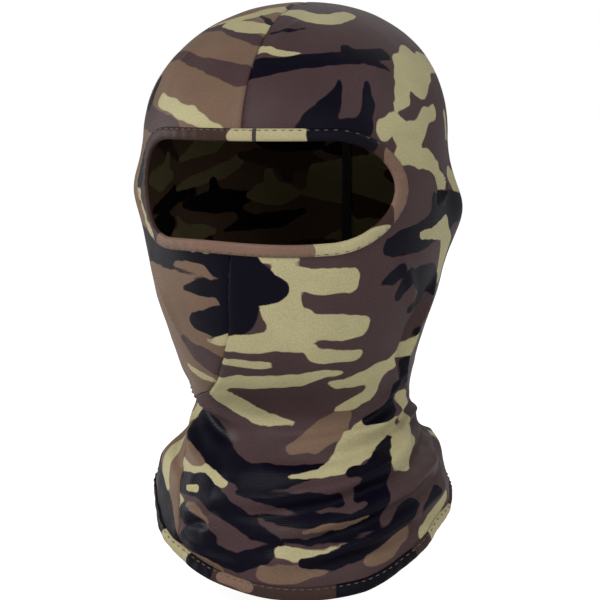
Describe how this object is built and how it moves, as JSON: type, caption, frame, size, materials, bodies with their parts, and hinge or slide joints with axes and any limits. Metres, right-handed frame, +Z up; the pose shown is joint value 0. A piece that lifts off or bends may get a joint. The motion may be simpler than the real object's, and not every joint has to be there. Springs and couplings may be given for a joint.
{
  "type": "face mask",
  "caption": "Stretch-knit camouflage hood mask with a wide bound eye opening, a fitted neck and a flared bib with a banded hem, shaped as worn on a head.",
  "frame": {"origin": "on the upright axis of the head, at the level of the eyes", "axes": "+Z up, -Y the way the face looks, +X the wearer's left"},
  "size_m": [0.1523, 0.1935, 0.2958],
  "materials": {
    "camo_knit": "smooth stretch knit, printed",
    "camo_binding": "folded strip of the same knit",
    "overlock_thread": "overlocked seam edge",
    "sewing_thread": "polyester thread"
  },
  "bodies": {
    "root": {"hood_left_panel": "camo_knit", "hood_right_panel": "camo_knit", "crown_seam_overlock": "overlock_thread", "front_seam_overlock": "overlock_thread", "eye_binding": "camo_binding", "eye_binding_join": "camo_binding", "eye_binding_stitches": "sewing_thread", "hem_band": "camo_binding", "hem_band_join": "camo_binding", "hem_band_stitches": "sewing_thread"}
  },
  "joints": []
}
